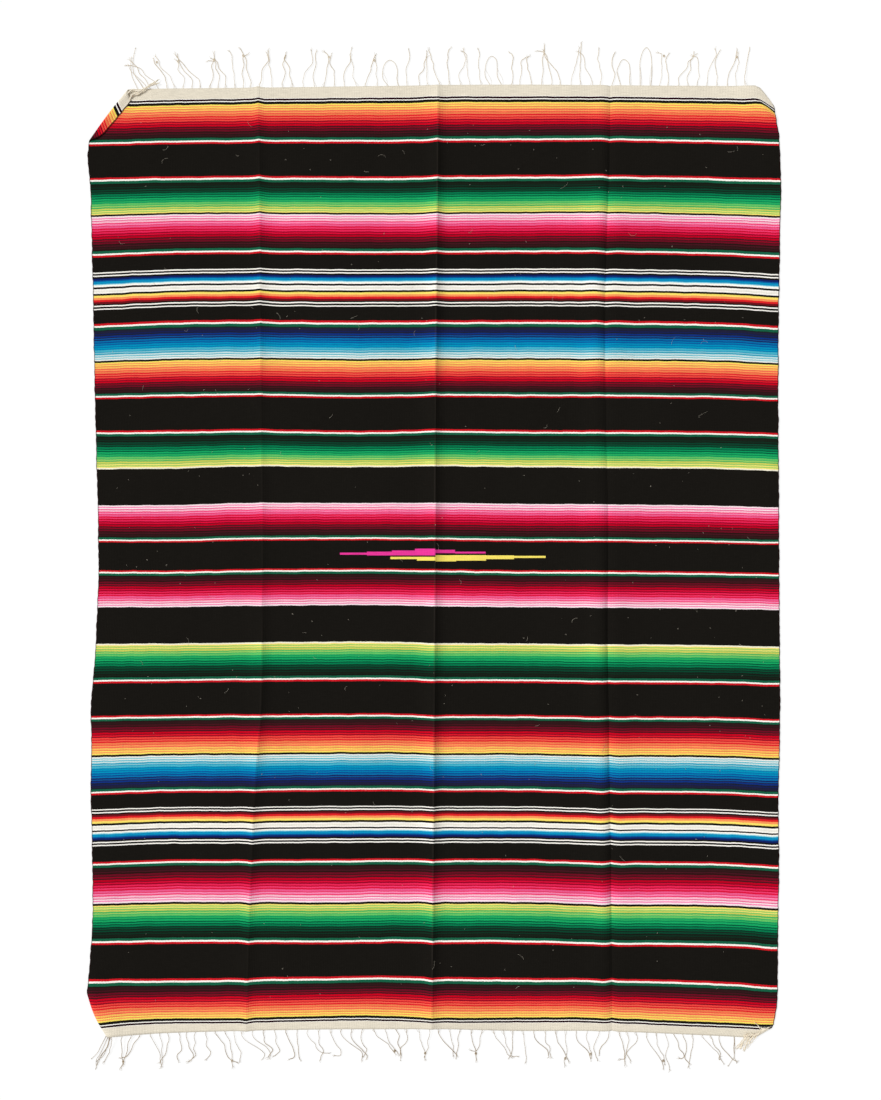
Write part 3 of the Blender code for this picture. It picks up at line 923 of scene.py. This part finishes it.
def strand_points(end, root, tip, length, sway, wild):
    """A strand from its root to its tip on the floor, wavy as washed yarn."""
    inner, edge = rooted(end, root)
    points = [inner, edge]
    waves = wild.uniform(0.8, 2.3)
    phase = wild.uniform(0, math.tau)
    swing = wild.uniform(0.0010, 0.0042)
    hook = wild.uniform(-1, 1) ** 3 * 0.016
    fan = (0.008 if end > 0 else 0.016) * edge.x / HALF_WIDTH
    for share in (0.06, 0.14, 0.26, 0.38, 0.50, 0.62, 0.74, 0.86, 1.0):
        x = edge.x + (tip - edge.x) * eased(share) + sway * math.sin(math.tau * share * 0.9)
        x += swing * share**0.5 * math.sin(math.tau * waves * share + phase)
        x += wild.uniform(-0.0013, 0.0013) * share**0.3
        curled = max(share - 0.62, 0.0) / 0.38
        x += fan * share**2 + hook * curled**2
        y = edge.y + end * (length * share - abs(hook) * 0.9 * curled**3)
        rest = REST_HEIGHT + 0.0008 * (1 + ragged(x * 90, share * 4))
        points.append(Vector((x, y, (edge.z - WALL / 2) * (1 - share) ** 2 + rest)))
    return points


def root_threads(tubes, end, root, points, wild):
    """Warp ends that leave the cloth beside a strand and join it."""
    for side in wild.choice(((-1,), (1,), (-1, 1), ())):
        away = side * wild.uniform(0.0022, 0.0042)
        inner, edge = rooted(end, root + away)
        join = points[3]
        start = edge.lerp(join, 0.35)
        start.x = edge.x - away * 0.25
        tubes.tube(smooth([inner, edge, start, join], 0.003), [0.00025] * 40, 3)


def arch(end, roots, meeting, length, wild):
    """Two roots whose strand goes up, over and down again."""
    left, right = (rooted(end, root) for root in roots)
    wide = max((roots[1] - roots[0]) * 0.55, 0.007) * wild.uniform(0.7, 1.15)
    length *= wild.uniform(0.62, 1.0)
    middle = (meeting + (left[1].x + right[1].x) / 2) / 2
    points = [left[0], left[1]]
    for x, share in ((-1.15, 0.25), (-1.3, 0.5), (-1.0, 0.74), (-0.45, 0.88), (0.2, 0.91),
                     (0.9, 0.78), (1.15, 0.52), (1.1, 0.26)):
        points.append(Vector((middle + wide * x + wild.uniform(-0.0012, 0.0012),
                              left[1].y + end * length * share,
                              REST_HEIGHT + 0.0006 * (1 + ragged(x * 3, share * 9)))))
    return points + [right[1], right[0]]


def build_fringe(fringe, extras):
    """The fringe of one end, whose groups are those of the part's solids."""
    end = fringe.end
    draw = random.Random(FRINGE_SEED + end)
    wild = random.Random(WILD_SEED + end)
    spacing = (fringe.last_root - fringe.first_root) / (fringe.strands - 1)
    tubes = Tubes(TOP_SHADE if end > 0 else BOTTOM_SHADE)
    made = 0
    last_tip = -CLOTH_WIDTH
    while made < fringe.strands:
        count = min(draw.choice(GROUP_SIZES), fringe.strands - made)
        roots = [fringe.first_root + spacing * (i + draw.uniform(-ROOT_SCATTER, ROOT_SCATTER))
                 for i in range(made, made + count)]
        breadth = TIP_SPACING * (count - 1)
        meeting = sum(roots) / count + draw.uniform(-fringe.lean, fringe.lean)
        first_tip = max(meeting - breadth / 2, last_tip + TIP_CLEARANCE)
        last_tip = first_tip + breadth
        length = fringe.reach * draw.uniform(SHORTEST_REACH, 1.0)
        sway = fringe.sway * draw.uniform(-1.0, 1.0)
        made += count
        if count == 2 and end > 0 and wild.random() < ARCH_SHARE:
            points = arch(end, roots, first_tip + breadth / 2, length, wild)
            tubes.yarn(points, YARN_RADIUS, tip_share=1.2)
            for root, near in zip(roots, (points, points[::-1])):
                root_threads(tubes, end, root, near, wild)
            continue
        tips = []
        for i, root in enumerate(roots):
            tip = first_tip + TIP_SPACING * i * wild.uniform(0.3, 1.2)
            reach = length * wild.uniform(0.76, 1.0)
            points = strand_points(end, root, tip, reach, sway, wild)
            tubes.yarn(points, YARN_RADIUS * wild.uniform(0.72, 1.10))
            heading = points[-1] - points[-2]
            heading.z = 0.0
            heading.normalize()
            tubes.fray(points[-1], heading, wild)
            root_threads(tubes, end, root, points, wild)
            tips.append(points)
        if count > 1 and wild.random() < KNOT_SHARE:
            gathered = tips[0][-2].lerp(tips[1][-2], 0.5)
            tubes.knot(gathered, wild)
    for points, radius, tubes.shade in extras:
        route = [Vector(point) for point in points]
        pitch = YARN_PITCH if radius < THICK_YARN else radius * THICK_PITCH
        tubes.yarn(route, radius, pitch=pitch, tip_share=0.7)
        heading = route[-1] - route[-2]
        heading.z = 0.0
        tubes.fray(route[-1], heading.normalized(), wild, length=0.004)
    return tubes


def top_extras():
    """The twisted bundle on the turned corner, and the fine strands beside it."""
    upper, lower = (within_wall(across, HALF_LENGTH - ROOT_DEPTH) for across in (-0.7260, -0.7440))
    high = 0.0066
    return [
        ([lower, (-0.6560, 1.0036, high), (-0.6466, 1.0050, high), (-0.6366, 1.0100, high),
          (-0.6300, 1.0160, high + 0.001), (-0.6211, 1.0208, high + 0.001),
          (-0.6110, 1.0258, high), (-0.6010, 1.0300, 0.0050)], 0.0023, BUNDLE_SHADE),
        ([upper, (-0.6550, 1.0148, high), (-0.6466, 1.0126, high), (-0.6375, 1.0118, high + 0.002),
          (-0.6295, 1.0176, high + 0.002), (-0.6195, 1.0232, high + 0.001),
          (-0.6090, 1.0298, high), (-0.6010, 1.0372, 0.0045)], 0.0021, BUNDLE_SHADE),
        ([lower, (-0.6500, 1.0072, high), (-0.6340, 1.0120, high + 0.002),
          (-0.6200, 1.0250, high + 0.001), (-0.6060, 1.0330, high)], 0.0012, BUNDLE_SHADE),
        ([(-0.6460, 1.0180, 0.002), (-0.6500, 1.0270, 0.0026), (-0.6580, 1.0450, 0.002),
          (-0.6610, 1.0680, 0.002), (-0.6590, 1.0840, 0.002)], 0.0008, TOP_SHADE),
        ([(-0.6330, 1.0180, 0.002), (-0.6400, 1.0300, 0.0024), (-0.6540, 1.0520, 0.003),
          (-0.6560, 1.0800, 0.002), (-0.6510, 1.1050, 0.002)], 0.0009, TOP_SHADE),
        ([(-0.6240, 1.0190, 0.002), (-0.6310, 1.0280, 0.0024), (-0.6450, 1.0420, 0.003),
          (-0.6600, 1.0560, 0.002), (-0.6660, 1.0700, 0.002)], 0.0007, TOP_SHADE),
    ]


def bottom_extras():
    """The tuft of the turned-over corner, its loop, and the tangle below the tucked corner."""
    draw = random.Random(TUFT_SEED)
    extras = []
    tips = ((0.6535, -1.0640), (0.6565, -1.0658), (0.6600, -1.0648), (0.6630, -1.0672),
            (0.6665, -1.0655), (0.6700, -1.0690), (0.6722, -1.0702), (0.6745, -1.0680),
            (0.6785, -1.0640), (0.6812, -1.0600), (0.6840, -1.0570), (0.6852, -1.0540))
    for i, tip in enumerate(tips):
        share = i / (len(tips) - 1)
        root = within_wall(0.7100 + 0.0031 * i, -HALF_LENGTH + ROOT_DEPTH)
        points = [root + Vector((0, 0, 0.0012))]
        for left, right, high in (((0.6760, -1.0340), (0.7020, -1.0352), 0.0064),
                                  ((0.6705, -1.0425), (0.6925, -1.0445), 0.0052),
                                  ((0.6625, -1.0545), (0.6868, -1.0535), 0.0034)):
            place = Vector(left).lerp(Vector(right), share)
            points.append((place.x + draw.uniform(-0.0016, 0.0016),
                           place.y + draw.uniform(-0.0016, 0.0016), high + 0.0008 * (i % 2)))
        extras.append((points + [(*tip, 0.0022)], draw.uniform(0.0012, 0.0017),
                       draw.uniform(0.7, BUNDLE_SHADE)))
    corner = within_wall(0.7440, -HALF_LENGTH + ROOT_DEPTH)
    extras.append(([corner, (0.7072, -1.0250, 0.0068), (0.7022, -1.0170, 0.0064),
                    (0.6959, -1.0107, 0.0058)], 0.0011, BUNDLE_SHADE))
    extras.append(([corner, (0.7100, -1.0262, 0.0072), (0.7180, -1.0228, 0.0072),
                    (0.7256, -1.0192, 0.0060)], 0.0021, BUNDLE_SHADE))
    extras += [
        ([(0.6494, -1.0360, 0.0012), (0.6502, -1.0520, 0.0020), (0.6490, -1.0660, 0.0020),
          (0.6500, -1.0840, 0.0020), (0.6440, -1.0940, 0.0020), (0.6385, -1.1030, 0.0020)],
         0.0008, BOTTOM_SHADE),
        ([(0.6500, -1.0360, 0.0012), (0.6510, -1.0520, 0.0020), (0.6512, -1.0680, 0.0024),
          (0.6500, -1.0850, 0.0028), (0.6525, -1.0910, 0.0022), (0.6547, -1.0967, 0.0020)],
         0.0008, BOTTOM_SHADE),
    ]
    for root, middle, tip in (((-0.7090, -1.0370), (-0.7110, -1.0600), (-0.7330, -1.1000)),
                              ((-0.7060, -1.0370), (-0.7160, -1.0640), (-0.7370, -1.1100)),
                              ((-0.7120, -1.0350), (-0.7240, -1.0620), (-0.7450, -1.0880)),
                              ((-0.7030, -1.0370), (-0.7130, -1.0720), (-0.7340, -1.0930)),
                              ((-0.7080, -1.0360), (-0.7290, -1.0760), (-0.7360, -1.1060))):
        shift = draw.uniform(-0.003, 0.003)
        extras.append(([(*root, 0.0012), (middle[0] + shift, middle[1], 0.0022),
                        ((middle[0] + tip[0]) / 2 - shift, (middle[1] + tip[1]) / 2, 0.0030),
                        (*tip, 0.0018)], 0.0008, BOTTOM_SHADE))
    return extras


def build_lint(material):
    """Pale stray fibres lying on the cloth."""
    draw = random.Random(LINT_SEED)
    tubes = Tubes()
    for i in range(LINT_FIBRES):
        x, y = draw.uniform(-0.70, 0.72), draw.uniform(-0.97, 0.95)
        long = i % LONG_FIBRE_EVERY == 0
        length = draw.uniform(0.008, 0.022) if long else draw.uniform(0.0012, 0.0034)
        turn, curl = draw.uniform(0, math.tau), draw.uniform(-2.6, 2.6)
        steps = 8 if long else 3
        points = []
        for _ in range(steps + 1):
            points.append(Vector((x, y, laid(x, y).z + WALL + 0.0004)))
            x += math.cos(turn) * length / steps
            y += math.sin(turn) * length / steps
            turn += curl / steps
        radius = 0.00017 if long else draw.uniform(0.00022, 0.00045)
        tubes.tube(points, [radius] * len(points), 3)
    return tubes.finish("lint", material)


def build_stage():
    mesh = bpy.data.meshes.new("floor")
    corners = [(x * FLOOR_HALF, y * FLOOR_HALF, FLOOR_HEIGHT)
               for x, y in ((-1, -1), (1, -1), (1, 1), (-1, 1))]
    mesh.from_pydata(corners, [], [(0, 1, 2, 3)])
    floor = bpy.data.objects.new("floor", mesh)
    bpy.context.scene.collection.objects.link(floor)
    graph = Graph("paper")
    grain = graph.noise(graph.place(), 90.0)
    graph.feed(graph.shader.inputs["Base Color"],
               graph.shade(linear(FLOOR_GREY), graph.spread(grain, 0.3, 0.7, 0.98, 1.0)))
    graph.shader.inputs["Roughness"].default_value = 1.0
    graph.shader.inputs["Specular IOR Level"].default_value = 0.0
    graph.shader.inputs["Emission Color"].default_value = (1.0, 1.0, 1.0, 1.0)
    graph.shader.inputs["Emission Strength"].default_value = FLOOR_GLOW
    mesh.materials.append(graph.material)


def build_light():
    world = bpy.data.worlds.new("studio")
    bpy.context.scene.world = world
    world.use_nodes = True
    world.node_tree.nodes["Background"].inputs["Color"].default_value = (1.0, 1.0, 1.0, 1.0)
    world.node_tree.nodes["Background"].inputs["Strength"].default_value = WORLD_LIGHT
    lamp = bpy.data.lights.new("key", "SUN")
    lamp.energy = SUN_LIGHT
    lamp.angle = SUN_WIDTH
    key = bpy.data.objects.new("key", lamp)
    bpy.context.scene.collection.objects.link(key)
    toward = Vector(SUN_TOWARD)
    key.rotation_euler = toward.to_track_quat("-Z", "Y").to_euler()


def build_camera():
    data = bpy.data.cameras.new("camera")
    data.lens = CAMERA_LENS
    data.sensor_width = CAMERA_SENSOR
    camera = bpy.data.objects.new("camera", data)
    camera.location = CAMERA_PLACE
    bpy.context.scene.collection.objects.link(camera)
    bpy.context.scene.camera = camera


scene = bpy.context.scene
scene.view_settings.view_transform = "Standard"
build_camera()
build_light()
build_stage()

cloth = build_cloth()
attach(cloth, "root")
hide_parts("web")

cotton = yarn_material("undyed_yarn", (146, 126, 98), (212, 198, 174), (236, 226, 206))
for name, node, fringe, extras in (("yarn_top", "fringe_top", TOP_FRINGE, top_extras()),
                                   ("yarn_bottom", "fringe_bottom", BOTTOM_FRINGE, bottom_extras())):
    piece = build_fringe(fringe, extras).finish(name, cotton)
    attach(piece, "root")
    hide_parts(node)

lint = build_lint(yarn_material("lint", (130, 120, 104), (192, 184, 168), (196, 188, 172)))
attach(lint, "root")
